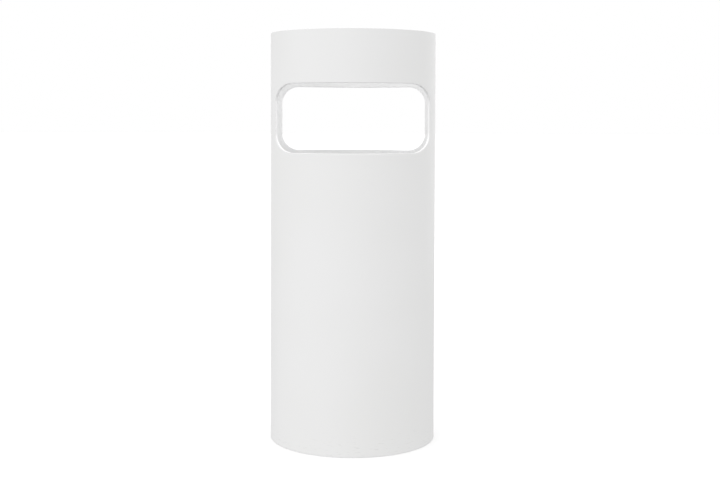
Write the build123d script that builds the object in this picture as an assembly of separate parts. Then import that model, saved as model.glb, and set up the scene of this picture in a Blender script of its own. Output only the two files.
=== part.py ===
from build123d import *
from math import cos, radians, sin, sqrt
import os

# Free-standing umbrella stand: a tall white moulded tube, open at the top, with one wide
# round-cornered hand opening in the front wall and the same opening in the rear wall.
# A ribbed base pan closes the bottom. It carries a steel ballast disc, a lift-out drip
# tray and four soft feet. Millimetres. +Z is up, -Y is the front, and the origin is on
# the floor at the middle of the feet.

# ---- driving dimensions -------------------------------------------------------------
OVERALL_HEIGHT = 610.0
BASE_DIAMETER = 250.0          # outside of the tube at its bottom edge
TOP_DIAMETER = 244.6           # outside of the tube at its rim, less by the mould draft
WALL = 3.5
SHELL_BOTTOM = 0.3             # the tube's lower edge hangs just clear of the floor
RIM_ROUND = 1.0
LOWER_EDGE_ROUND = 0.4

WINDOW_WIDTH = 225.2           # on the outside of the tube, seen square on from the front
WINDOW_HEIGHT = 98.5
WINDOW_CENTRE_Z = 485.0
WINDOW_CORNER = 26.0           # corner radius, also seen square on from the front
WINDOW_CORNER_STEPS = 8
WINDOW_CUT_FROM = 40.0         # the window's cutter reaches from this far in front of the
WINDOW_CUT_TO = 140.0          # axis to this far, so that it passes all of the wall
WINDOW_OUTER_ROUND = 1.5       # rounding where the opening meets the outside
WINDOW_INNER_ROUND = 0.9       # rounding where the opening meets the inside

BASE_FIT = 0.3                 # radial gap between the base pan and the tube
BASE_BOTTOM = 2.5              # underside of the base pan's skirt, ribs end above it
FLOOR_UNDERSIDE = 12.0
FLOOR_TOP = 15.0
SKIRT_WALL = 3.0
RIB_THICKNESS = 2.0
RIB_BOTTOM = 4.0
RIB_COUNT = 12
RIB_RING_RADIUS = 60.0
HUB_RADIUS = 14.0
SEAT_RING_OUTER = 100.0        # ring on the base pan that carries the drip tray
SEAT_RING_INNER = 97.0
SEAT_TOP = 22.0

CORNER_COUNT = 4               # feet, base screws and their bosses all come in fours
FOOT_RADIUS = 12.0
FOOT_CIRCLE = 98.0             # radius of the circle that the feet stand on
FOOT_FIRST_ANGLE = 45.0
FOOT_BOSS_RADIUS = 14.5
FOOT_RECESS_DEPTH = 2.0
FOOT_STEM_RADIUS = 3.0
FOOT_STEM_TOP = 10.0
FOOT_ROUND = 0.8
FOOT_PLAY = 0.2                # radial gap between a foot pad and its recess
FOOT_STEM_PLAY = 0.5           # air left above the stem in its hole

SCREW_CIRCLE = 114.5           # radius of the circle of the base screws
SCREW_SHANK_RADIUS = 1.95
SCREW_HOLE_RADIUS = 2.0
SCREW_CLEARANCE_RADIUS = 2.25
SCREW_COLUMN_RADIUS = 5.0
SCREW_HEAD_SPACE_RADIUS = 4.6  # recess that the head sits in, room for a driver
SCREW_SEAT_Z = 5.6             # the heads bear upwards against this level
SCREW_HEAD_RADIUS = 3.8
SCREW_HEAD_HEIGHT = 2.5
SCREW_HEAD_ROUND = 1.0
SCREW_LENGTH = 22.0
SCREW_TIP = 1.2                # chamfer at the end of the shank
BOSS_RADIUS = 4.5              # the tube's screw bosses stand on the base pan's floor
BOSS_TOP = 38.0
BOSS_HOLE_TOP = 33.0
CROSS_WIDTH = 0.9              # cross recess in every screw head
CROSS_LENGTH = 3.8
CROSS_DEPTH = 1.4

BALLAST_RADIUS = 92.0
BALLAST_THICKNESS = 5.0
BALLAST_CENTRE_HOLE = 10.0
BALLAST_CHAMFER = 0.8
BALLAST_SCREWS = 3
BALLAST_SCREW_CIRCLE = 42.0
BALLAST_SCREW_FIRST_ANGLE = 90.0
SUNK_HEAD_RADIUS = 4.0
SUNK_HEAD_DEPTH = 2.2
SUNK_HEAD_PLAY = 0.1           # radial gap between a head and its countersink
SUNK_SCREW_LENGTH = 12.0
SUNK_BOSS_RADIUS = 5.0
SUNK_BOSS_BOTTOM = 6.0
SUNK_BOSS_FLOOR = 1.5          # material left below a ballast screw's hole

TRAY_WALL = 2.2
TRAY_FLOOR = 2.5
TRAY_FLOOR_RADIUS = 103.0      # outside of the tray's wall at its floor
TRAY_MOUTH_RADIUS = 106.5      # outside of the tray's wall under its flange
TRAY_FLANGE_UNDERSIDE = 42.0
TRAY_FLANGE_THICKNESS = 2.2
TRAY_FLANGE_RADIUS = 117.4     # passes the tube's narrow end when the tray is lifted out
TRAY_FLANGE_ROUND = 0.9
TRAY_CORNER_OUTSIDE = 4.0      # rounding between the tray's floor and wall
TRAY_CORNER_INSIDE = 2.0
TRAY_RIBS = 8
TRAY_RIB_HEIGHT = 2.0
TRAY_RIB_THICKNESS = 2.0
TRAY_RIB_INNER = 24.0
TRAY_RIB_OUTER = 92.0
TRAY_RING_RADIUS = 58.0
FINGER_NOTCH_RADIUS = 11.0
FINGER_NOTCH_CIRCLE = 118.5
FINGER_NOTCH_SHOULDER = 3.0    # rounding where a notch runs out into the flange

SAME = 0.01                    # two measures closer than this count as equal

# ---- sizes worked out from them -----------------------------------------------------
BASE_R = BASE_DIAMETER / 2
TOP_R = TOP_DIAMETER / 2
TAPER = (BASE_R - TOP_R) / (OVERALL_HEIGHT - SHELL_BOTTOM)
PAN_R = BASE_R - WALL - BASE_FIT


def outer_radius(z):
    """Outside radius of the tube at height z."""
    return BASE_R - TAPER * (z - SHELL_BOTTOM)


def around(count, radius, first=0.0):
    """Locations spaced evenly on a circle about the Z axis, each turned to face outwards."""
    return PolarLocations(radius, count, start_angle=first)


def cylinder(radius, low, high, at=Location()):
    """Upright cylinder between two heights."""
    return at * Pos(0, 0, (low + high) / 2) * Cylinder(radius, high - low)


def bar(inner, outer, thickness, low, high, angle):
    """Upright radial bar, from one radius to another, turned to an angle about Z."""
    block = Box(outer - inner, thickness, high - low)
    return Rot(0, 0, angle) * Pos((inner + outer) / 2, 0, (low + high) / 2) * block


def ring(inner, outer, low, high):
    """Upright ring between two radii and two heights."""
    return cylinder(outer, low, high) - cylinder(inner, low, high)


def revolved(points):
    """Solid of revolution about Z from (radius, z) corners."""
    outline = make_face(Polyline(*points, close=True))
    return revolve(Plane.XZ * outline, Axis.Z)


def circles_at(shape, radius, z):
    """The full-circle edges of a shape that have one radius and lie at one height."""
    found = []
    for edge in shape.edges().filter_by(GeomType.CIRCLE):
        if abs(edge.radius - radius) < SAME and abs(edge.center().Z - z) < SAME:
            found.append(edge)
    return found


# ---- outer_shell ----------------------------------------------------------------------
def screw_boss(place):
    """Column inside the tube that a base screw bites into, joined to the wall by a web."""
    column = cylinder(BOSS_RADIUS, FLOOR_TOP, BOSS_TOP, place)
    web_length = outer_radius(BOSS_TOP) - WALL / 2 - SCREW_CIRCLE
    web_place = place * Pos(web_length / 2, 0, (FLOOR_TOP + BOSS_TOP) / 2)
    return column + web_place * Box(web_length, 2 * BOSS_RADIUS, BOSS_TOP - FLOOR_TOP)


def window_outline(depth):
    """Window outline on the upright plane at Y = -depth, as seen from the tube's axis.

    The outline is a round-cornered rectangle on the tube, seen square on from the front.
    Carried to any other plane along level lines through the axis, it keeps its heights,
    and its widths follow the tangent of each point's angle about the axis.
    """
    radius = outer_radius(WINDOW_CENTRE_Z)
    half_width = WINDOW_WIDTH / 2
    half_height = WINDOW_HEIGHT / 2

    def on_plane(x, z):
        return (depth * x / sqrt(radius**2 - x**2), z)

    corner = []
    for step in range(WINDOW_CORNER_STEPS + 1):
        turn = radians(90 * step / WINDOW_CORNER_STEPS)
        x = half_width - WINDOW_CORNER * (1 - sin(turn))
        z = half_height - WINDOW_CORNER * (1 - cos(turn))
        corner.append(on_plane(x, z))
    top_right = Spline(*corner, tangents=((1, 0), (0, -1)))
    side = Line(corner[-1], (corner[-1][0], 0))
    top = Line((0, half_height), corner[0])
    outline = top + top_right + side
    outline += mirror(outline, Plane.XZ)
    outline += mirror(outline, Plane.YZ)
    plane = Plane(origin=(0, -depth, WINDOW_CENTRE_Z), x_dir=(1, 0, 0), z_dir=(0, -1, 0))
    return plane * make_face(outline)


def window_cutter():
    """Solid whose sides all run level towards the tube's axis, so the cut is square to the wall."""
    near = window_outline(WINDOW_CUT_FROM)
    far = window_outline(WINDOW_CUT_TO)
    return loft([near, far], ruled=True)


def window_edges(tube, radius_wanted):
    """The edges that the windows leave on the tube's face of about that radius."""
    found = []
    for edge in tube.edges():
        point = edge.position_at(0.5)
        radius = sqrt(point.X**2 + point.Y**2)
        in_band = abs(point.Z - WINDOW_CENTRE_Z) < WINDOW_HEIGHT
        is_seam = edge.geom_type == GeomType.LINE and edge.length > WINDOW_HEIGHT
        if in_band and not is_seam and abs(radius - radius_wanted) < WALL / 4:
            found.append(edge)
    return found


def make_outer_shell():
    profile = [
        (BASE_R, SHELL_BOTTOM),
        (TOP_R, OVERALL_HEIGHT),
        (TOP_R - WALL, OVERALL_HEIGHT),
        (BASE_R - WALL, SHELL_BOTTOM),
    ]
    tube = revolved(profile)
    rim = tube.edges().filter_by(GeomType.CIRCLE).group_by(Axis.Z)[-1]
    tube = fillet(rim, RIM_ROUND)
    lower_edge = circles_at(tube, BASE_R, SHELL_BOTTOM)
    lower_edge += circles_at(tube, BASE_R - WALL, SHELL_BOTTOM)
    tube = fillet(lower_edge, LOWER_EDGE_ROUND)
    cutter = window_cutter()
    tube -= cutter
    tube -= Rot(0, 0, 180) * cutter
    outside = outer_radius(WINDOW_CENTRE_Z)
    tube = fillet(window_edges(tube, outside), WINDOW_OUTER_ROUND)
    tube = fillet(window_edges(tube, outside - WALL), WINDOW_INNER_ROUND)
    for place in around(CORNER_COUNT, SCREW_CIRCLE):
        tube += screw_boss(place)
        tube -= cylinder(SCREW_HOLE_RADIUS, FLOOR_TOP, BOSS_HOLE_TOP, place)
    return tube


# ---- base_pan -------------------------------------------------------------------------
def make_base_pan():
    pan = cylinder(PAN_R, FLOOR_UNDERSIDE, FLOOR_TOP)
    pan += ring(PAN_R - SKIRT_WALL, PAN_R, BASE_BOTTOM, FLOOR_UNDERSIDE)
    pan += ring(SEAT_RING_INNER, SEAT_RING_OUTER, FLOOR_TOP, SEAT_TOP)
    ring_half = RIB_THICKNESS / 2
    pan += ring(
        RIB_RING_RADIUS - ring_half,
        RIB_RING_RADIUS + ring_half,
        RIB_BOTTOM,
        FLOOR_UNDERSIDE,
    )
    pan += ring(HUB_RADIUS - RIB_THICKNESS, HUB_RADIUS, RIB_BOTTOM, FLOOR_UNDERSIDE)
    for i in range(RIB_COUNT):
        angle = 360 / RIB_COUNT * i
        reach = PAN_R - SKIRT_WALL / 2
        pan += bar(
            HUB_RADIUS - ring_half, reach, RIB_THICKNESS, RIB_BOTTOM, FLOOR_UNDERSIDE, angle
        )
    for place in around(CORNER_COUNT, FOOT_CIRCLE, FOOT_FIRST_ANGLE):
        pan += cylinder(FOOT_BOSS_RADIUS, BASE_BOTTOM, FLOOR_UNDERSIDE, place)
        recess_top = BASE_BOTTOM + FOOT_RECESS_DEPTH
        pan -= cylinder(FOOT_RADIUS + FOOT_PLAY, BASE_BOTTOM, recess_top, place)
        pan -= cylinder(FOOT_STEM_RADIUS, recess_top, FOOT_STEM_TOP + FOOT_STEM_PLAY, place)
    for place in around(CORNER_COUNT, SCREW_CIRCLE):
        pan += cylinder(SCREW_COLUMN_RADIUS, SCREW_SEAT_Z, FLOOR_UNDERSIDE, place)
        pan -= cylinder(SCREW_HEAD_SPACE_RADIUS, BASE_BOTTOM, SCREW_SEAT_Z, place)
        pan -= cylinder(SCREW_CLEARANCE_RADIUS, SCREW_SEAT_Z, FLOOR_TOP, place)
    for place in ballast_screw_places():
        pan += cylinder(SUNK_BOSS_RADIUS, SUNK_BOSS_BOTTOM, FLOOR_UNDERSIDE, place)
        pan -= cylinder(SCREW_HOLE_RADIUS, SUNK_BOSS_BOTTOM + SUNK_BOSS_FLOOR, FLOOR_TOP, place)
    return pan


# ---- ballast_disc ---------------------------------------------------------------------
def ballast_screw_places():
    return around(BALLAST_SCREWS, BALLAST_SCREW_CIRCLE, BALLAST_SCREW_FIRST_ANGLE)


def make_ballast_disc():
    top = FLOOR_TOP + BALLAST_THICKNESS
    disc = cylinder(BALLAST_RADIUS, FLOOR_TOP, top)
    disc = chamfer(disc.edges(), BALLAST_CHAMFER)
    disc -= cylinder(BALLAST_CENTRE_HOLE, FLOOR_TOP, top)
    for place in ballast_screw_places():
        disc -= cylinder(SCREW_CLEARANCE_RADIUS, FLOOR_TOP, top, place)
        disc -= place * sunk_cone(
            SUNK_HEAD_RADIUS + SUNK_HEAD_PLAY, SCREW_SHANK_RADIUS + SUNK_HEAD_PLAY
        )
    return disc


def sunk_cone(top_radius, bottom_radius):
    """Countersink or countersunk head, its top flush with the ballast disc."""
    top = FLOOR_TOP + BALLAST_THICKNESS
    return Pos(0, 0, top - SUNK_HEAD_DEPTH / 2) * Cone(bottom_radius, top_radius, SUNK_HEAD_DEPTH)


# ---- screws ---------------------------------------------------------------------------
def cross_recess(face_z, into):
    """Cross-shaped recess in a screw head's face; into is +1 for up and -1 for down."""
    middle = face_z + into * CROSS_DEPTH / 2
    slot = Box(CROSS_LENGTH, CROSS_WIDTH, CROSS_DEPTH)
    return Pos(0, 0, middle) * (slot + Rot(0, 0, 90) * slot)


def make_base_screws():
    """Pan-head screws, driven upwards through the base pan into the tube's bosses."""
    face = SCREW_SEAT_Z - SCREW_HEAD_HEIGHT
    head = cylinder(SCREW_HEAD_RADIUS, face, SCREW_SEAT_Z)
    lower_rim = head.edges().group_by(Axis.Z)[0]
    head = fillet(lower_rim, SCREW_HEAD_ROUND)
    shank = cylinder(SCREW_SHANK_RADIUS, SCREW_SEAT_Z, SCREW_SEAT_Z + SCREW_LENGTH)
    tip = shank.edges().group_by(Axis.Z)[-1]
    shank = chamfer(tip, SCREW_TIP)
    screw = head + shank - cross_recess(face, 1)
    return [place * screw for place in around(CORNER_COUNT, SCREW_CIRCLE)]


def make_ballast_screws():
    """Countersunk screws, driven down through the ballast disc into the base pan."""
    top = FLOOR_TOP + BALLAST_THICKNESS
    head = sunk_cone(SUNK_HEAD_RADIUS, SCREW_SHANK_RADIUS)
    shank = cylinder(SCREW_SHANK_RADIUS, top - SUNK_SCREW_LENGTH, top - SUNK_HEAD_DEPTH)
    screw = head + shank - cross_recess(top, -1)
    return [place * screw for place in ballast_screw_places()]


# ---- feet -----------------------------------------------------------------------------
def make_foot_pad(place):
    """Soft pad in its recess, held by a stem pushed into the base pan."""
    pad = cylinder(FOOT_RADIUS, 0, BASE_BOTTOM + FOOT_RECESS_DEPTH)
    pad = fillet(pad.edges().group_by(Axis.Z)[0], FOOT_ROUND)
    stem = cylinder(FOOT_STEM_RADIUS, BASE_BOTTOM + FOOT_RECESS_DEPTH, FOOT_STEM_TOP)
    return place * (pad + stem)


# ---- drip_tray ------------------------------------------------------------------------
def notched_flange(tray, flange_top):
    """Cut the finger notches into the tray's flange and round its whole outline."""
    for place in around(2, FINGER_NOTCH_CIRCLE):
        tray -= cylinder(FINGER_NOTCH_RADIUS, TRAY_FLANGE_UNDERSIDE, flange_top, place)
    shoulders = []
    for edge in tray.edges().filter_by(Axis.Z):
        if abs(edge.center().Z - TRAY_FLANGE_UNDERSIDE) < TRAY_FLANGE_THICKNESS:
            shoulders.append(edge)
    tray = fillet(shoulders, FINGER_NOTCH_SHOULDER)
    outline = []
    for edge in tray.edges():
        point = edge.position_at(0.5)
        outside_mouth = sqrt(point.X**2 + point.Y**2) > TRAY_MOUTH_RADIUS + SAME
        level = min(abs(point.Z - TRAY_FLANGE_UNDERSIDE), abs(point.Z - flange_top))
        if outside_mouth and level < SAME:
            outline.append(edge)
    return fillet(outline, TRAY_FLANGE_ROUND)


def make_drip_tray():
    floor_top = SEAT_TOP + TRAY_FLOOR
    flange_top = TRAY_FLANGE_UNDERSIDE + TRAY_FLANGE_THICKNESS
    tray = revolved(
        [
            (0, SEAT_TOP),
            (TRAY_FLOOR_RADIUS, SEAT_TOP),
            (TRAY_MOUTH_RADIUS, TRAY_FLANGE_UNDERSIDE),
            (TRAY_FLANGE_RADIUS, TRAY_FLANGE_UNDERSIDE),
            (TRAY_FLANGE_RADIUS, flange_top),
            (TRAY_MOUTH_RADIUS - TRAY_WALL, flange_top),
            (TRAY_FLOOR_RADIUS - TRAY_WALL, floor_top),
            (0, floor_top),
        ]
    )
    tray = fillet(circles_at(tray, TRAY_FLOOR_RADIUS, SEAT_TOP), TRAY_CORNER_OUTSIDE)
    inside_corner = circles_at(tray, TRAY_FLOOR_RADIUS - TRAY_WALL, floor_top)
    tray = fillet(inside_corner, TRAY_CORNER_INSIDE)
    mouth = circles_at(tray, TRAY_MOUTH_RADIUS - TRAY_WALL, flange_top)
    tray = fillet(mouth, TRAY_FLANGE_ROUND)
    tray = notched_flange(tray, flange_top)
    rib_top = floor_top + TRAY_RIB_HEIGHT
    for i in range(TRAY_RIBS):
        angle = 360 / TRAY_RIBS * i
        tray += bar(
            TRAY_RIB_INNER, TRAY_RIB_OUTER, TRAY_RIB_THICKNESS, floor_top, rib_top, angle
        )
    half = TRAY_RIB_THICKNESS / 2
    tray += ring(TRAY_RING_RADIUS - half, TRAY_RING_RADIUS + half, floor_top, rib_top)
    return tray


def main():
    parts = {
        "outer_shell": make_outer_shell(),
        "base_pan": make_base_pan(),
        "ballast_disc": make_ballast_disc(),
        "drip_tray": make_drip_tray(),
        "base_screws": Compound(children=make_base_screws()),
        "ballast_screws": Compound(children=make_ballast_screws()),
    }
    for i, place in enumerate(around(CORNER_COUNT, FOOT_CIRCLE, FOOT_FIRST_ANGLE)):
        parts[f"foot_pad_{i + 1}"] = make_foot_pad(place)
    os.makedirs("parts", exist_ok=True)
    for name, shape in parts.items():
        export_step(shape, f"parts/{name}.step")
        print(name, round(shape.volume), "mm3")


main()
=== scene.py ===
# %% [markdown]
# # A white umbrella stand
#
# The stand is a tall moulded plastic tube, open at the top, with a wide hand opening in
# the front wall and another in the rear wall. The engineering model already fixes every
# size and place. This lesson loads it, and then makes the surfaces that people see.
#
# Lengths are in metres, so a millimetre gets a name of its own.

# %% Load the engineering model
from math import asin, cos, hypot, pi, radians, sin, sqrt

import bmesh
import bpy
from mathutils import Matrix, Vector


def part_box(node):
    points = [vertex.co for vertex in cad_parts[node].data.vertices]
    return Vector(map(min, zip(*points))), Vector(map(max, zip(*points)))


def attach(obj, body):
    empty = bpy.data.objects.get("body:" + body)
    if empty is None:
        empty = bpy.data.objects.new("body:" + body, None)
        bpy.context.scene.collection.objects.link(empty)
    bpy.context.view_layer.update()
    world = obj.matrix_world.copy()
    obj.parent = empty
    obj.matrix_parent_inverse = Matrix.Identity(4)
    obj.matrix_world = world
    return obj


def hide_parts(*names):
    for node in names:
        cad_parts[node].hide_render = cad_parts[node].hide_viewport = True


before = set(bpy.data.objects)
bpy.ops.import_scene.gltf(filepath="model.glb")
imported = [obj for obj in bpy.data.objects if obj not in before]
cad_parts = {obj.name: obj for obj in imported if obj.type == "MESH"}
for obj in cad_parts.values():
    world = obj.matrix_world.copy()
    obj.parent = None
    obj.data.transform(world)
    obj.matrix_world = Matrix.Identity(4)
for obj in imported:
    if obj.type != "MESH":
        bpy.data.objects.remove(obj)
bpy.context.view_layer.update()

MM = 0.001
for node in sorted(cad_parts):
    low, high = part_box(node)
    print(node, [round((high[i] - low[i]) / MM, 1) for i in range(3)], "mm")

# %% [markdown]
# ## Shared helpers
#
# Every piece is built in a bmesh, Blender's editable mesh in memory, and then written to
# a mesh object. One helper does that for all of them. It also shades the faces smooth,
# names the body that the piece moves with, and hides the engineering nodes it replaces.

# %% Turn a bmesh into a finished piece
def finish_piece(name, bm, material, body, nodes):
    """Write the bmesh to an object that rides on a body and stands for some CAD nodes."""
    mesh = bpy.data.meshes.new(name)
    bm.to_mesh(mesh)
    bm.free()
    mesh.shade_smooth()
    mesh.materials.append(material)
    piece = bpy.data.objects.new(name, mesh)
    bpy.context.scene.collection.objects.link(piece)
    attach(piece, body)
    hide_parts(*nodes)
    print(name, len(mesh.polygons), "faces")
    return piece


# %% [markdown]
# ## Materials
#
# A moulded surface is never one flat colour. Its tone drifts a little, it is rougher in
# some places than in others, and the steel of the mould leaves a faint grain. Each
# material below mixes a few noise patterns of different sizes for that. The patterns read
# Object coordinates, which are plain metres here, so a scale of 100 means details of
# about a centimetre. A few small helpers keep the node code short.

# %% Node helpers
def new_material(name):
    """New material, its node tree, its Principled shader and its Object coordinates."""
    material = bpy.data.materials.new(name)
    material.use_nodes = True
    tree = material.node_tree
    shader = tree.nodes["Principled BSDF"]
    place = tree.nodes.new("ShaderNodeTexCoord").outputs["Object"]
    return material, tree, shader, place


def noise(tree, place, scale, detail=4.0, stretch=(1, 1, 1)):
    """Noise pattern from 0 to 1, with its middle at 0.5. Stretch squeezes it along axes."""
    mapping = tree.nodes.new("ShaderNodeMapping")
    mapping.inputs["Scale"].default_value = stretch
    tree.links.new(place, mapping.inputs["Vector"])
    pattern = tree.nodes.new("ShaderNodeTexNoise")
    pattern.inputs["Scale"].default_value = scale
    pattern.inputs["Detail"].default_value = detail
    pattern.inputs["Roughness"].default_value = 0.55
    tree.links.new(mapping.outputs["Vector"], pattern.inputs["Vector"])
    return pattern.outputs["Fac"]


def spread(tree, value, start, end, low, high):
    """Carry a value from the range start..end smoothly to low..high, and stop at the ends."""
    node = tree.nodes.new("ShaderNodeMapRange")
    node.interpolation_type = "SMOOTHSTEP"
    limits = {"From Min": start, "From Max": end, "To Min": low, "To Max": high}
    for name, number in limits.items():
        node.inputs[name].default_value = number
    tree.links.new(value, node.inputs["Value"])
    return node.outputs["Result"]


def combine(tree, operation, first, second):
    """Math node on two values. The second may be a plain number."""
    node = tree.nodes.new("ShaderNodeMath")
    node.operation = operation
    tree.links.new(first, node.inputs[0])
    if isinstance(second, (int, float)):
        node.inputs[1].default_value = second
    else:
        tree.links.new(second, node.inputs[1])
    return node.outputs["Value"]


def blend_colours(tree, factor, first, second):
    """Mix of two colours by a factor from 0 to 1. The first may come from another node."""
    node = tree.nodes.new("ShaderNodeMix")
    node.data_type = "RGBA"
    if isinstance(first, tuple):
        node.inputs["A"].default_value = (*first, 1)
    else:
        tree.links.new(first, node.inputs["A"])
    node.inputs["B"].default_value = (*second, 1)
    tree.links.new(factor, node.inputs["Factor"])
    return node.outputs["Result"]


def distance_from_axis(tree, place):
    """Distance of each point from the Z axis."""
    flatten = tree.nodes.new("ShaderNodeMapping")
    flatten.inputs["Scale"].default_value = (1, 1, 0)
    tree.links.new(place, flatten.inputs["Vector"])
    length = tree.nodes.new("ShaderNodeVectorMath")
    length.operation = "LENGTH"
    tree.links.new(flatten.outputs["Vector"], length.inputs[0])
    return length.outputs["Value"]


def bump(tree, shader, height, distance):
    """Let a pattern raise the surface by up to a distance, on top of any earlier bumps."""
    node = tree.nodes.new("ShaderNodeBump")
    node.inputs["Strength"].default_value = 1.0
    node.inputs["Distance"].default_value = distance
    tree.links.new(height, node.inputs["Height"])
    if shader.inputs["Normal"].links:
        tree.links.new(shader.inputs["Normal"].links[0].from_socket, node.inputs["Normal"])
    tree.links.new(node.outputs["Normal"], shader.inputs["Normal"])


# %% [markdown]
# ### White moulded ABS
#
# The tube is coloured right through, so its edges are as white as its faces. It has a
# satin gloss with a very fine grain, and a slow waviness that real tall mouldings show
# along their walls. The mould opens to the front and to the back, so its halves meet
# along a faint line up each side. Near the floor, shoes and mops leave a little grey.
# The inner face gets a lighter white than the outer one. That is painted light and not a
# fact about the plastic: with one white for both, the inside came out too dark, so the
# lighter white stands in for light that the inside lacks. The distance from the axis tells
# the two faces apart.

# %% Make the tube's plastic
WHITE = (0.83, 0.83, 0.83)
WHITE_SHADE = (0.815, 0.815, 0.81)
# Painted light: a lighter white on the inner face stands in for light the inside lacks.
INNER_PAINTED_LIGHT_WHITE = (0.955, 0.955, 0.955)
INNER_FACE_ENDS = (121.6 * MM, 122.2 * MM)  # between the widest inside and narrowest outside
SCUFF_GREY = (0.60, 0.60, 0.59)
SCUFFS_FADE = (3 * MM, 45 * MM)             # heights between which the scuffs die out
PARTING_LINE = 0.25 * MM                    # half the line's width
PARTING_HEIGHT = 0.03 * MM
WAVE_HEIGHT = 0.05 * MM
GRAIN_HEIGHT = 0.012 * MM


def white_abs():
    material, tree, shader, place = new_material("white_abs")
    axes = tree.nodes.new("ShaderNodeSeparateXYZ")
    tree.links.new(place, axes.inputs["Vector"])

    drift = noise(tree, place, 5, detail=2)
    tone = blend_colours(tree, spread(tree, drift, 0.3, 0.7, 0, 1), WHITE, WHITE_SHADE)

    near_floor = spread(tree, axes.outputs["Z"], *SCUFFS_FADE, 1, 0)
    streaks = noise(tree, place, 90, detail=6, stretch=(1, 1, 5))
    scuffs = combine(tree, "MULTIPLY", near_floor, spread(tree, streaks, 0.56, 0.72, 0, 0.35))
    tone = blend_colours(tree, scuffs, tone, SCUFF_GREY)

    # Painted light: the inner face gets the lighter white, so the inside looks less dark.
    inside = spread(tree, distance_from_axis(tree, place), *INNER_FACE_ENDS, 1, 0)
    tone = blend_colours(tree, inside, tone, INNER_PAINTED_LIGHT_WHITE)
    tree.links.new(tone, shader.inputs["Base Color"])

    handling = noise(tree, place, 22, detail=5)
    tree.links.new(spread(tree, handling, 0.3, 0.75, 0.34, 0.43), shader.inputs["Roughness"])

    side_line = combine(tree, "ABSOLUTE", axes.outputs["Y"], 0)
    bump(tree, shader, spread(tree, side_line, 0, PARTING_LINE, 1, 0), PARTING_HEIGHT)
    bump(tree, shader, noise(tree, place, 60, detail=1, stretch=(1, 1, 0.4)), WAVE_HEIGHT)
    bump(tree, shader, noise(tree, place, 1500, detail=2), GRAIN_HEIGHT)
    return material


tube_plastic = white_abs()
print("tube plastic:", len(tube_plastic.node_tree.nodes), "nodes")

# %% [markdown]
# ### The hidden materials
#
# The base pan and the tray are polypropylene, which looks waxier than ABS. The ballast is
# a steel disc with a powder coat, a paint that dries with a fine pebbled skin. Zinc
# plating gives the screws a cool, slightly mottled sheen. The feet are matt rubber.

# %% Make the base, tray, ballast, screw and foot materials
def speckled(name, colour, shade, roughness, grain, depth, metallic=0.0):
    """Two-tone finish with uneven roughness and a grain, which is the noise's scale."""
    material, tree, shader, place = new_material(name)
    mottle = spread(tree, noise(tree, place, grain / 12), 0.3, 0.7, 0, 1)
    tree.links.new(blend_colours(tree, mottle, colour, shade), shader.inputs["Base Color"])
    wear = noise(tree, place, 45, detail=6)
    low, high = roughness
    tree.links.new(spread(tree, wear, 0.3, 0.7, low, high), shader.inputs["Roughness"])
    shader.inputs["Metallic"].default_value = metallic
    bump(tree, shader, noise(tree, place, grain, detail=3), depth)
    return material


base_plastic = speckled(
    "white_polypropylene", colour=(0.72, 0.72, 0.71), shade=(0.69, 0.69, 0.68),
    roughness=(0.5, 0.62), grain=1300, depth=0.03 * MM,
)
tray_plastic = speckled(
    "white_tray_plastic", colour=(0.70, 0.70, 0.69), shade=(0.67, 0.67, 0.66),
    roughness=(0.3, 0.42), grain=1500, depth=0.015 * MM,
)
powder_coat = speckled(
    "grey_powder_coat", colour=(0.17, 0.175, 0.18), shade=(0.14, 0.145, 0.15),
    roughness=(0.4, 0.55), grain=900, depth=0.06 * MM,
)
zinc_plate = speckled(
    "zinc_plate", colour=(0.62, 0.63, 0.64), shade=(0.52, 0.53, 0.52),
    roughness=(0.25, 0.42), grain=2500, depth=0.01 * MM, metallic=1.0,
)
foot_rubber = speckled(
    "black_rubber", colour=(0.022, 0.022, 0.023), shade=(0.035, 0.035, 0.035),
    roughness=(0.72, 0.9), grain=1800, depth=0.04 * MM,
)
for finish in (base_plastic, tray_plastic, powder_coat, zinc_plate, foot_rubber):
    print(finish.name, "made of", len(finish.node_tree.nodes), "nodes")

# %% [markdown]
# ## The tube
#
# A round wall with a round-cornered hole is awkward to model directly: the hole's corners
# have to bend in two ways at once. It is easy on a flat sheet, though. So the front half
# of the wall is drawn flat, cut into narrow strips, and then rolled up around the axis.
# Each vertex is set exactly on the tube, so the wall shades as a true cylinder.
#
# Seen square on from the front, the opening is a rectangle with round corners. The tube
# gets slightly narrower towards the top, which is the draft that lets it leave its mould.

# %% The tube's measures
tube_low, tube_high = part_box("outer_shell")
BOTTOM = tube_low[2]
TOP = tube_high[2]
BASE_RADIUS = (tube_high[0] - tube_low[0]) / 2
TOP_RADIUS = 122.3 * MM
WALL = 3.5 * MM
RIM_ROUND = 1.0 * MM
LOWER_EDGE_ROUND = 0.4 * MM

WINDOW_WIDTH = 225.2 * MM
WINDOW_HEIGHT = 98.5 * MM
WINDOW_CENTRE = 485.0 * MM
WINDOW_CORNER = 26.0 * MM
WINDOW_CORNER_STEPS = 16
WINDOW_OUTER_ROUND = 1.0 * MM
WINDOW_INNER_ROUND = 0.9 * MM
WINDOW_BAND = 4.0 * MM      # clean strip of faces around the opening
STRIP = 2.6 * MM            # widest strip of the flat sheet, before it is rolled up
ROW = 26.0 * MM


def tube_radius(z):
    """Outside radius of the tube at a height."""
    along = (z - BOTTOM) / (TOP - BOTTOM)
    return BASE_RADIUS + (TOP_RADIUS - BASE_RADIUS) * along


WINDOW_RADIUS = tube_radius(WINDOW_CENTRE)
print("tube:", round((TOP - BOTTOM) / MM, 1), "mm tall, wall", WALL / MM, "mm")

# %% [markdown]
# ### Draw the opening flat
#
# The opening starts as one face, a little larger than the real hole. A vertex bevel
# rounds its corners, and the straight edges are divided so that they can bend later. An
# inset then leaves a neat band of four-sided faces around the hole. The edge rounding
# will slide along this band, which keeps it even all the way round. Last, each vertex
# moves sideways, from where it is seen from the front to where it lies on the flat sheet.

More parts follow.
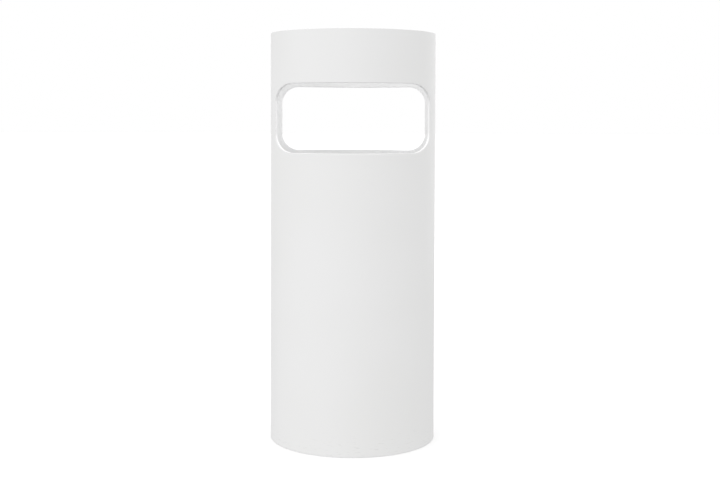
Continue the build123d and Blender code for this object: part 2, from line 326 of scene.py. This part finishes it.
# %% Draw the band around the opening
def flat_rectangle(bm, width, height):
    """One flat face about the origin. Returns it."""
    made = bmesh.ops.create_grid(bm, x_segments=1, y_segments=1, size=0.5)
    bmesh.ops.scale(bm, verts=made["verts"], vec=(width, height, 1))
    return made["verts"][0].link_faces[0]


def divide_straight_edges(bm, spacing):
    """Divide each long edge so that no part of it is longer than the spacing."""
    for edge in [e for e in bm.edges if e.calc_length() > 1.5 * spacing]:
        cuts = int(edge.calc_length() / spacing)
        bmesh.ops.subdivide_edges(bm, edges=[edge], cuts=cuts)


def window_band(bm):
    """Band of faces around the opening, on the flat sheet."""
    width = WINDOW_WIDTH + 2 * WINDOW_BAND
    height = WINDOW_HEIGHT + 2 * WINDOW_BAND
    flat_rectangle(bm, width, height)
    bmesh.ops.bevel(
        bm, geom=bm.verts[:], offset=WINDOW_CORNER + WINDOW_BAND,
        segments=WINDOW_CORNER_STEPS, profile=0.5, affect="VERTICES", material=-1,
    )
    divide_straight_edges(bm, STRIP)
    hole = bm.faces[:]
    bmesh.ops.inset_region(
        bm, faces=hole, thickness=WINDOW_BAND, use_boundary=True, use_even_offset=True
    )
    bmesh.ops.delete(bm, geom=hole, context="FACES")
    for vert in bm.verts:
        vert.co.x = WINDOW_RADIUS * asin(vert.co.x / WINDOW_RADIUS)


sheet = bmesh.new()
window_band(sheet)
print("band around the opening:", len(sheet.faces), "faces")

# %% [markdown]
# ### Fill in the rest of the sheet
#
# The sheet around the band is one large frame-shaped area. A fill joins its border to the
# band with triangles. The band itself must stay as it is later on, so a face layer marks
# it with a 1 before the fill adds faces of its own.

# %% Fill the sheet around the band
HALF_TURN = pi * WINDOW_RADIUS      # width of half the tube, unrolled
TINY = 0.001 * MM                   # two places closer than this count as the same


def lies_outside(edge):
    """Whether a border edge lies further from the middle than the face it belongs to."""
    middle = (edge.verts[0].co + edge.verts[1].co) / 2
    return middle.length > edge.link_faces[0].calc_center_median().length


def fill_sheet(bm):
    """Join the band to the half tube's own border. The band's faces get a mark of 1."""
    mark = bm.faces.layers.int.new("band")
    for face in bm.faces:
        face[mark] = 1
    rim = [e for e in bm.edges if e.is_boundary and lies_outside(e)]
    border_face = flat_rectangle(bm, HALF_TURN, TOP - BOTTOM)
    border_face[mark] = 0
    middle = (TOP + BOTTOM) / 2 - WINDOW_CENTRE
    bmesh.ops.translate(bm, verts=border_face.verts[:], vec=(0, middle, 0))
    border = border_face.edges[:]
    bmesh.ops.delete(bm, geom=[border_face], context="FACES_ONLY")
    bmesh.ops.triangle_fill(bm, use_beauty=True, edges=rim + border)
    return sorted(vert.co.x for edge in rim for vert in edge.verts if vert.co.y > 0)


rim_places = fill_sheet(sheet)
print("sheet:", len(sheet.faces), "faces before cutting")

# %% [markdown]
# ### Cut the sheet
#
# The sheet is cut first into narrow upright strips, because only narrow strips roll up
# smoothly, and then into rows. The cuts follow the band's own vertices, so that nearly all
# faces end up with four sides. The leftover diagonals of the fill do nothing on a flat
# sheet, so they are dissolved.

# %% Cut the sheet into strips and rows
STRAIGHT = radians(179)
NARROWEST = 0.45 * STRIP    # the band's vertices that are closer than this share a cut


def cut_sheet(bm, place, normal):
    """Cut everything but the band along one straight line."""
    mark = bm.faces.layers.int["band"]
    faces = [f for f in bm.faces if f[mark] == 0]
    edges = {e for f in faces for e in f.edges}
    verts = {v for f in faces for v in f.verts}
    geom = faces + list(edges) + list(verts)
    bmesh.ops.bisect_plane(bm, geom=geom, dist=TINY, plane_co=place, plane_no=normal)


def strip_places(rim):
    """Sideways places to cut at: the band's own vertices, then even steps to the border."""
    places = []
    for x in rim:
        if not places or x - places[-1] > NARROWEST:
            places.append(x)
    left = HALF_TURN / 2 - places[-1]
    steps = int(left / STRIP)
    for i in range(1, steps):
        places.append(rim[-1] + left * i / steps)
        places.append(rim[0] - left * i / steps)
    return places


def row_places():
    """Heights to cut at, from the band up to the rim and down to the base."""
    reach = WINDOW_HEIGHT / 2 + WINDOW_BAND
    places = []
    for start, end in ((reach, TOP - WINDOW_CENTRE), (-reach, BOTTOM - WINDOW_CENTRE)):
        steps = int(abs(end - start) / ROW)
        places += [start + (end - start) * i / steps for i in range(steps)]
    return places


def slants(edge):
    run = edge.verts[0].co - edge.verts[1].co
    return abs(run.x) > TINY and abs(run.y) > TINY


def clean_sheet(bm):
    """Dissolve the fill's diagonals, and the vertices that they leave on straight lines."""
    mark = bm.faces.layers.int["band"]
    spare = []
    for edge in bm.edges:
        if slants(edge) and len(edge.link_faces) == 2:
            if all(face[mark] == 0 for face in edge.link_faces):
                spare.append(edge)
    bmesh.ops.dissolve_edges(bm, edges=spare, use_verts=False)
    loose = []
    for vert in bm.verts:
        if len(vert.link_edges) == 2 and not any(slants(e) for e in vert.link_edges):
            first, second = [e.other_vert(vert).co - vert.co for e in vert.link_edges]
            if first.angle(second) > STRAIGHT:
                loose.append(vert)
    bmesh.ops.dissolve_verts(bm, verts=loose)


for x in strip_places(rim_places):
    cut_sheet(sheet, (x, 0, 0), (1, 0, 0))
for y in row_places():
    cut_sheet(sheet, (0, y, 0), (0, 1, 0))
clean_sheet(sheet)
sides = [len(face.verts) for face in sheet.faces]
print("sheet:", len(sides), "faces,", sides.count(4), "of them with four sides")

# %% [markdown]
# ### Roll the sheet up
#
# Rolling is one rule for every vertex: the distance along the sheet becomes an angle, and
# the radius follows the height, because the tube is slightly tapered. A spin with one
# half-turn step copies the half to the back. The two halves meet vertex to vertex and are
# merged. An extrusion makes the wall. Its new vertices move straight towards the axis, so
# the cut through the wall is square to it, as the mould's sliding cores leave it.

# %% Roll, copy and thicken
CENTIMETRE = 10 * MM
SEAM_GAP = 0.01 * MM        # the two halves' vertices lie closer than this


def roll_up(bm):
    for vert in bm.verts:
        angle = vert.co.x / WINDOW_RADIUS
        z = WINDOW_CENTRE + vert.co.y
        radius = tube_radius(z)
        vert.co = (radius * sin(angle), -radius * cos(angle), z)


def copy_around(bm, geom, count):
    """Copy some geometry evenly around the Z axis, count places in all."""
    turn = 2 * pi * (count - 1) / count
    bmesh.ops.spin(
        bm, geom=geom, cent=(0, 0, 0), axis=(0, 0, 1), angle=turn, steps=count - 1,
        use_duplicate=True,
    )


def everything(bm):
    return bm.verts[:] + bm.edges[:] + bm.faces[:]


def thicken_inwards(bm, wall):
    made = bmesh.ops.extrude_face_region(bm, geom=bm.faces[:])["geom"]
    for vert in [v for v in made if isinstance(v, bmesh.types.BMVert)]:
        radius = tube_radius(vert.co.z)
        vert.co.x *= (radius - wall) / radius
        vert.co.y *= (radius - wall) / radius


def face_outwards(bm):
    """Turn a closed shape the right way out: its signed volume has to be positive."""
    bmesh.ops.recalc_face_normals(bm, faces=bm.faces[:])
    if bm.calc_volume(signed=True) < 0:
        bmesh.ops.reverse_faces(bm, faces=bm.faces[:])


def volume_cm3(bm):
    return round(bm.calc_volume() / CENTIMETRE**3, 1)


roll_up(sheet)
copy_around(sheet, everything(sheet), 2)
bmesh.ops.remove_doubles(sheet, verts=sheet.verts[:], dist=SEAM_GAP)
thicken_inwards(sheet, WALL)
face_outwards(sheet)
tube = sheet
print("tube wall:", volume_cm3(tube), "cubic centimetres")

# %% [markdown]
# ### Round the edges
#
# No moulded edge is sharp. Each one catches a thin line of light, and that line is what
# makes the opening and the rim read as real plastic. At the rim and the foot, only the
# edges that run around the tube are sharp: those across the wall's thickness lie in one
# flat face. What is left sharp after that belongs to the opening, outside and inside. A
# bevel with a profile of 0.5 is a true quarter circle.

# %% Round the rim, the foot and the opening
SHARP = radians(50)


def sharp_edges(edges):
    """Those edges whose two faces meet at a clear angle. An open edge counts as flat."""
    return [edge for edge in edges if edge.calc_face_angle(0) > SHARP]


def edges_at_height(bm, height):
    return [e for e in bm.edges if all(abs(v.co.z - height) < TINY for v in e.verts)]


def is_on_outside(edge):
    middle = (edge.verts[0].co + edge.verts[1].co) / 2
    return middle.xy.length > tube_radius(middle.z) - WALL / 2


def round_edges(bm, edges, radius, segments):
    bmesh.ops.bevel(
        bm, geom=edges, offset=radius, offset_type="OFFSET", segments=segments,
        profile=0.5, affect="EDGES", clamp_overlap=False, material=-1,
    )


round_edges(tube, sharp_edges(edges_at_height(tube, TOP)), RIM_ROUND, 4)
round_edges(tube, sharp_edges(edges_at_height(tube, BOTTOM)), LOWER_EDGE_ROUND, 3)
outside = [edge for edge in sharp_edges(tube.edges) if is_on_outside(edge)]
round_edges(tube, outside, WINDOW_OUTER_ROUND, 5)
round_edges(tube, sharp_edges(tube.edges), WINDOW_INNER_ROUND, 4)
print("edges still sharp:", len(sharp_edges(tube.edges)))

# %% [markdown]
# ### Screw bosses
#
# Four columns inside the foot of the tube take the screws that hold the base. Each one is
# a flat rectangle with two corners rounded nearly to a half circle, raised to a column.
# Its outer end sits inside the wall, as if it had grown out of it.

# %% Add the screw bosses
SCREW_CIRCLE = 114.5 * MM
BOSS_RADIUS = 4.5 * MM
BOSS_CORNER = 0.98 * BOSS_RADIUS
BOSS_LOW = 15.0 * MM
BOSS_HIGH = 38.0 * MM
BOSS_ROUND = 0.8 * MM
BOSS_COUNT = 4


def raise_to_column(bm, distance, low, high):
    """Raise a flat face to an upright column that stands at a distance along the X axis."""
    raised = bmesh.ops.extrude_face_region(bm, geom=bm.faces[:])["geom"]
    top = [v for v in raised if isinstance(v, bmesh.types.BMVert)]
    bmesh.ops.translate(bm, verts=top, vec=(0, 0, high - low))
    bmesh.ops.translate(bm, verts=bm.verts[:], vec=(distance, 0, low))
    face_outwards(bm)


def add_to(bm, other):
    """Move another bmesh's geometry into this one."""
    carrier = bpy.data.meshes.new("carrier")
    other.to_mesh(carrier)
    other.free()
    bm.from_mesh(carrier)
    bpy.data.meshes.remove(carrier)


def add_bosses(bm):
    """Make one boss, copy it around, and add the copies to the tube."""
    start = SCREW_CIRCLE - BOSS_RADIUS
    end = tube_radius(BOSS_HIGH) - WALL / 2
    boss = bmesh.new()
    flat_rectangle(boss, end - start, 2 * BOSS_RADIUS)
    inner_corners = [v for v in boss.verts if v.co.x < 0]
    bmesh.ops.bevel(
        boss, geom=inner_corners, offset=BOSS_CORNER, segments=8, profile=0.5,
        affect="VERTICES", material=-1,
    )
    raise_to_column(boss, (start + end) / 2, BOSS_LOW, BOSS_HIGH)
    round_edges(boss, edges_at_height(boss, BOSS_HIGH), BOSS_ROUND, 3)
    copy_around(boss, everything(boss), BOSS_COUNT)
    add_to(bm, boss)


add_bosses(tube)
tube_piece = finish_piece(
    "tube", tube, tube_plastic, body="stand", nodes=["outer_shell"]
)

# %% [markdown]
# ### Exact shading on the wall
#
# Smooth shading averages the faces around each vertex. Next to a rounded edge that would
# tilt the light on the tall faces beside it. The wall's true direction is known, though:
# straight out from the axis, tipped up a little by the taper. So the vertices that lie on
# the wall get that direction, and the rounded edges keep their averages.

# %% Set the wall's true normals
def set_wall_normals(piece):
    mesh = piece.data
    tip = (BASE_RADIUS - TOP_RADIUS) / (TOP - BOTTOM)
    normals = []
    exact = 0
    for vert, average in zip(mesh.vertices, mesh.vertex_normals):
        radius = vert.co.xy.length
        out = Vector((vert.co.x, vert.co.y, radius * tip)).normalized()
        if abs(radius - tube_radius(vert.co.z)) < TINY:
            normals.append(out)
            exact += 1
        elif abs(radius + WALL - tube_radius(vert.co.z)) < TINY:
            normals.append(-out)
            exact += 1
        else:
            normals.append(average.vector.copy())
    mesh.normals_split_custom_set_from_vertices(normals)
    print(exact, "of", len(normals), "vertices have the wall's exact direction")


set_wall_normals(tube_piece)

# %% [markdown]
# ## The drip tray
#
# The tray lies on the base, catches what drips off the umbrellas, and lifts out to be
# emptied. It is a shallow dish with a flat flange, and two notches in the flange let a
# fingertip reach under it. A spin makes the dish from its outline: each point of the
# outline becomes a circle, and the two points on the axis become poles. The spin's last
# step is merged with its first, and merging the doubles closes the poles.

# %% The tray's measures and its outline
tray_low, tray_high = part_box("drip_tray")
TRAY_BOTTOM = tray_low[2]
TRAY_TOP = tray_high[2]
FLANGE_RADIUS = tray_high[1]
TRAY_WALL = 2.2 * MM
FLANGE_UNDERSIDE = TRAY_TOP - TRAY_WALL
DISH_FLOOR = TRAY_BOTTOM + 2.5 * MM
DISH_BOTTOM_RADIUS = 103.0 * MM
DISH_MOUTH_RADIUS = 106.5 * MM
FLAT_CENTRE = 20.0 * MM
CORNER_MARGIN = 6.0 * MM       # circle on each flat face near its rounded corner
TRAY_STEPS = 480

TRAY_OUTLINE = [
    (0, TRAY_BOTTOM),
    (FLAT_CENTRE, TRAY_BOTTOM),
    (DISH_BOTTOM_RADIUS - CORNER_MARGIN, TRAY_BOTTOM),
    (DISH_BOTTOM_RADIUS, TRAY_BOTTOM),
    (DISH_MOUTH_RADIUS, FLANGE_UNDERSIDE),
    (FLANGE_RADIUS, FLANGE_UNDERSIDE),
    (FLANGE_RADIUS, TRAY_TOP),
    (DISH_MOUTH_RADIUS - TRAY_WALL, TRAY_TOP),
    (DISH_BOTTOM_RADIUS - TRAY_WALL, DISH_FLOOR),
    (DISH_BOTTOM_RADIUS - TRAY_WALL - CORNER_MARGIN, DISH_FLOOR),
    (FLAT_CENTRE, DISH_FLOOR),
    (0, DISH_FLOOR),
]


def spin_outline(bm, points, steps, closed=False):
    """Full turn about the Z axis of an outline through (radius, height) points."""
    verts = [bm.verts.new((radius, 0, height)) for radius, height in points]
    following = verts[1:] + verts[:1] if closed else verts[1:]
    edges = [bm.edges.new(pair) for pair in zip(verts, following)]
    bmesh.ops.spin(
        bm, geom=verts + edges, cent=(0, 0, 0), axis=(0, 0, 1), angle=2 * pi, steps=steps,
        use_merge=True,
    )
    bmesh.ops.remove_doubles(bm, verts=bm.verts[:], dist=TINY)
    face_outwards(bm)


tray = bmesh.new()
spin_outline(tray, TRAY_OUTLINE, TRAY_STEPS)
print("dish:", len(tray.faces), "faces,", volume_cm3(tray), "cubic centimetres")

# %% [markdown]
# ### Finger notches and rounded edges
#
# Each notch is the bite of a circle that is centred just outside the flange. In any
# direction from the axis, its edge lies at a known radius, so the notch needs no cutting:
# the flange's edge is simply moved to the nearer of the two radii. A smooth minimum does
# the same but rounds the shoulders, where the notch runs out. After that the edges are
# rounded, which also rounds the notches. At their tight shoulders some of the new corners
# fall on one point, so the faces between them have no area and are dissolved.

# %% Shape the flange and round the tray
NOTCH_CIRCLE = 118.5 * MM
NOTCH_RADIUS = 11.0 * MM
NOTCH_SHOULDER = 3.0 * MM
FLANGE_ROUND = 0.9 * MM
INSIDE_CORNER = 2.0 * MM
OUTSIDE_CORNER = 4.0 * MM
RUN_OUT = 2.0                  # how steeply the notch leaves the flange past its shoulder


def smooth_minimum(first, second, width):
    """The smaller of two values, with a smooth change where they are about the same."""
    closeness = max(width - abs(first - second), 0) / width
    return min(first, second) - width * closeness**2 / 4


def flange_reach(x, y):
    """Radius of the flange's edge in the direction of a point."""
    along = NOTCH_CIRCLE * abs(x) / hypot(x, y)
    across = NOTCH_CIRCLE * abs(y) / hypot(x, y)
    if across > NOTCH_RADIUS:
        notch = along + RUN_OUT * (across - NOTCH_RADIUS)
    else:
        notch = along - sqrt(NOTCH_RADIUS**2 - across**2)
    return smooth_minimum(FLANGE_RADIUS, notch, NOTCH_SHOULDER)


def circle_edges(bm, radius, height):
    """Edges that lie on one circle around the axis."""
    found = []
    for edge in edges_at_height(bm, height):
        if all(abs(vert.co.xy.length - radius) < TINY for vert in edge.verts):
            found.append(edge)
    return found


flange_edges = circle_edges(tray, FLANGE_RADIUS, TRAY_TOP)
flange_edges += circle_edges(tray, FLANGE_RADIUS, FLANGE_UNDERSIDE)
for vert in {vert for edge in flange_edges for vert in edge.verts}:
    vert.co.xy *= flange_reach(vert.co.x, vert.co.y) / vert.co.xy.length
round_edges(tray, flange_edges, FLANGE_ROUND, 4)
for radius, height, rounding, segments in (
    (DISH_MOUTH_RADIUS - TRAY_WALL, TRAY_TOP, FLANGE_ROUND, 4),
    (DISH_BOTTOM_RADIUS - TRAY_WALL, DISH_FLOOR, INSIDE_CORNER, 5),
    (DISH_BOTTOM_RADIUS, TRAY_BOTTOM, OUTSIDE_CORNER, 6),
):
    round_edges(tray, circle_edges(tray, radius, height), rounding, segments)
bmesh.ops.dissolve_degenerate(tray, dist=TINY, edges=tray.edges[:])
print("tray:", len(tray.faces), "faces once its edges are rounded")

# %% [markdown]
# ### Ribs
#
# Ribs keep the umbrella tips out of the water. A spider of eight bars and one ring is
# moulded onto the dish's floor. One bar is made and copied around, and each foot is sunk
# a little into the floor, so that no two faces lie in the same plane.

# %% Add the ribs
RIB_COUNT = 8
RIB_WIDTH = 2.0 * MM
RIB_INNER = 24.0 * MM
RIB_OUTER = 92.0 * MM
RIB_RING = 58.0 * MM
RIB_LOW = DISH_FLOOR - 0.5 * MM
RIB_HIGH = DISH_FLOOR + 2.0 * MM
RIB_ROUND = 0.6 * MM


def add_bars(bm):
    bar = bmesh.new()
    flat_rectangle(bar, RIB_OUTER - RIB_INNER, RIB_WIDTH)
    raise_to_column(bar, (RIB_INNER + RIB_OUTER) / 2, RIB_LOW, RIB_HIGH)
    round_edges(bar, edges_at_height(bar, RIB_HIGH), RIB_ROUND, 3)
    copy_around(bar, everything(bar), RIB_COUNT)
    add_to(bm, bar)


def add_ring(bm):
    ring = bmesh.new()
    inner, outer = RIB_RING - RIB_WIDTH / 2, RIB_RING + RIB_WIDTH / 2
    corners = [(inner, RIB_LOW), (outer, RIB_LOW), (outer, RIB_HIGH), (inner, RIB_HIGH)]
    spin_outline(ring, corners, TRAY_STEPS // 2, closed=True)
    upper = circle_edges(ring, inner, RIB_HIGH) + circle_edges(ring, outer, RIB_HIGH)
    round_edges(ring, upper, RIB_ROUND, 3)
    add_to(bm, ring)


add_bars(tray)
add_ring(tray)
tray_piece = finish_piece(
    "tray", tray, tray_plastic, body="tray", nodes=["drip_tray"]
)

# %% [markdown]
# ### Flat faces that look flat
#
# Flat faces next to small rounded ones should still look flat. The weighted normal
# modifier lets each face count by its area when a corner's shading is averaged.

# %% Keep the tray's flat faces flat
def weigh_normals(piece):
    modifier = piece.modifiers.new("weighted_normals", "WEIGHTED_NORMAL")
    modifier.mode = "FACE_AREA"
    modifier.weight = 90


weigh_normals(tray_piece)
print("tray modifiers:", [modifier.name for modifier in tray_piece.modifiers])

# %% [markdown]
# ## The hidden parts
#
# The base, its ballast, the screws and the feet keep their engineering shapes, which are
# already the real ones. They sit under the tray or under the base, so they only need
# their own finishes. A new material goes into each object's slot, and the mesh stays as
# it is.

# %% Finish the base, the ballast, the screws and the feet
def give_finish(node, material):
    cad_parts[node].material_slots[0].material = material
    print(node, "is", material.name)


give_finish("base_pan", base_plastic)
give_finish("ballast_disc", powder_coat)
give_finish("base_screws", zinc_plate)
give_finish("ballast_screws", zinc_plate)
for foot in sorted(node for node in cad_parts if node.startswith("foot_pad")):
    give_finish(foot, foot_rubber)

# %% [markdown]
# ## The studio
#
# The stand is shown as in a catalogue, on a white floor with no visible end. The room
# itself is the lamp. Its ceiling is a large soft light, one side is a brighter window,
# and less light comes up from below. So the open top fills with light, and the tall wall
# gets a slow gradient that shows how round it is. The floor catches the stand's shadow,
# but it doesn't light the stand: the lower half of the room does that, more gently.

# %% Make the floor
FLOOR_RADIUS = 40.0
FLOOR_WHITE = (0.96, 0.96, 0.96, 1)


def make_floor():
    material, _, shader, _ = new_material("studio_floor")
    shader.inputs["Base Color"].default_value = FLOOR_WHITE
    shader.inputs["Roughness"].default_value = 0.9
    shader.inputs["Specular IOR Level"].default_value = 0.1
    bm = bmesh.new()
    bmesh.ops.create_circle(bm, cap_ends=True, segments=96, radius=FLOOR_RADIUS)
    mesh = bpy.data.meshes.new("floor")
    bm.to_mesh(mesh)
    bm.free()
    mesh.materials.append(material)
    floor = bpy.data.objects.new("floor", mesh)
    bpy.context.scene.collection.objects.link(floor)
    floor.visible_diffuse = False
    floor.visible_glossy = False


make_floor()
print("floor:", 2 * FLOOR_RADIUS, "m across")

# %% [markdown]
# ### The light
#
# A world's background can change with the direction that it is seen in. A dot product
# with an axis says how far a direction leans towards it, and a map range turns that into
# an amount of light. One ramp makes the bright side, and each of the next three fades
# into another strength: a weaker light behind the stand that lifts its shaded edge, the
# ceiling, and the light from below. The backdrop is plain white wherever it is looked at
# directly, as in a cut-out: the Light Path node tells those rays from the ones that only
# bring light.

# %% Light the room
WALL_LIGHT = 0.91
BRIGHT_LIGHT = 1.42
REAR_LIGHT = 1.20
CEILING_LIGHT = 1.36
LIGHT_FROM_BELOW = 0.75
BRIGHT_SIDE = (-0.62, -0.78, 0.12)
REAR_SIDE = (0.50, 0.87, 0.0)
UP = (0, 0, 1)
DOWN = (0, 0, -1)
# Where each ramp starts and ends: 0 is square to its axis, and 1 is straight along it.
BRIGHT_RAMP = (0.35, 0.95)
REAR_RAMP = (0.8, 1.0)
CEILING_RAMP = (0.3, 0.85)
BELOW_RAMP = (0.0, 0.2)


def lean(tree, direction, axis, ramp, low=0, high=1):
    """Value from low to high as a direction leans more and more towards an axis."""
    dot = tree.nodes.new("ShaderNodeVectorMath")
    dot.operation = "DOT_PRODUCT"
    dot.inputs[1].default_value = Vector(axis).normalized()
    tree.links.new(direction, dot.inputs[0])
    return spread(tree, dot.outputs["Value"], *ramp, low, high)


def crossfade(tree, factor, first, second):
    """Value that goes from the first to the second as the factor goes from 0 to 1."""
    node = tree.nodes.new("ShaderNodeMix")
    for name, value in (("Factor", factor), ("A", first), ("B", second)):
        if isinstance(value, (int, float)):
            node.inputs[name].default_value = value
        else:
            tree.links.new(value, node.inputs[name])
    return node.outputs["Result"]


def make_room():
    world = bpy.data.worlds.new("white_room")
    world.use_nodes = True
    tree = world.node_tree
    background = tree.nodes["Background"]
    background.inputs["Color"].default_value = (1, 1, 1, 1)
    direction = tree.nodes.new("ShaderNodeTexCoord").outputs["Generated"]
    light = lean(tree, direction, BRIGHT_SIDE, BRIGHT_RAMP, WALL_LIGHT, BRIGHT_LIGHT)
    for axis, ramp, strength in (
        (REAR_SIDE, REAR_RAMP, REAR_LIGHT),
        (UP, CEILING_RAMP, CEILING_LIGHT),
        (DOWN, BELOW_RAMP, LIGHT_FROM_BELOW),
    ):
        light = crossfade(tree, lean(tree, direction, axis, ramp), light, strength)
    looked_at = tree.nodes.new("ShaderNodeLightPath").outputs["Is Camera Ray"]
    tree.links.new(crossfade(tree, looked_at, light, 1.0), background.inputs["Strength"])
    bpy.context.scene.world = world


make_room()
print("walls of the room:", WALL_LIGHT, "to", BRIGHT_LIGHT)
print("ceiling:", CEILING_LIGHT, "and light from below:", LIGHT_FROM_BELOW)

# %% [markdown]
# ### The camera
#
# The camera stands at the height of the hand openings and looks down a little, so both
# openings line up and the rim shows as a thin ellipse. A long lens keeps the walls nearly
# upright. Its small yaw and roll are tuned, to put the stand in its place in the picture.

# %% Place the camera
CAMERA_AZIMUTH = 0.9        # degrees round the stand, to the right of its front
CAMERA_DISTANCE = 1.755     # metres from the stand's axis
CAMERA_HEIGHT = 0.482
CAMERA_LENS = 58.2          # millimetres, like the sensor
SENSOR_WIDTH = 36
CAMERA_PITCH = 5.86         # degrees below level
CAMERA_YAW = 0.358
CAMERA_ROLL = 0.20


def make_camera():
    data = bpy.data.cameras.new("camera")
    data.lens = CAMERA_LENS
    data.sensor_width = SENSOR_WIDTH
    camera = bpy.data.objects.new("camera", data)
    around = Matrix.Rotation(radians(CAMERA_AZIMUTH), 4, "Z")
    stand_at = around @ Matrix.Translation((0, -CAMERA_DISTANCE, CAMERA_HEIGHT))
    turn = Matrix.Rotation(radians(-CAMERA_YAW), 4, "Z")
    tilt = Matrix.Rotation(radians(90 - CAMERA_PITCH), 4, "X")
    roll = Matrix.Rotation(radians(CAMERA_ROLL), 4, "Z")
    camera.matrix_world = stand_at @ turn @ tilt @ roll
    bpy.context.scene.collection.objects.link(camera)
    bpy.context.scene.camera = camera


make_camera()
bpy.context.scene.view_settings.view_transform = "Standard"
print("camera at", round(CAMERA_DISTANCE, 2), "m, lens", CAMERA_LENS, "mm")

# %% [markdown]
# ## Sizes
#
# The surfaces made here must fill the same box as the engineering model. A helper lists
# a box's corners.

# %% List a box's corners
def corners(box):
    return [list(corner) for corner in box]
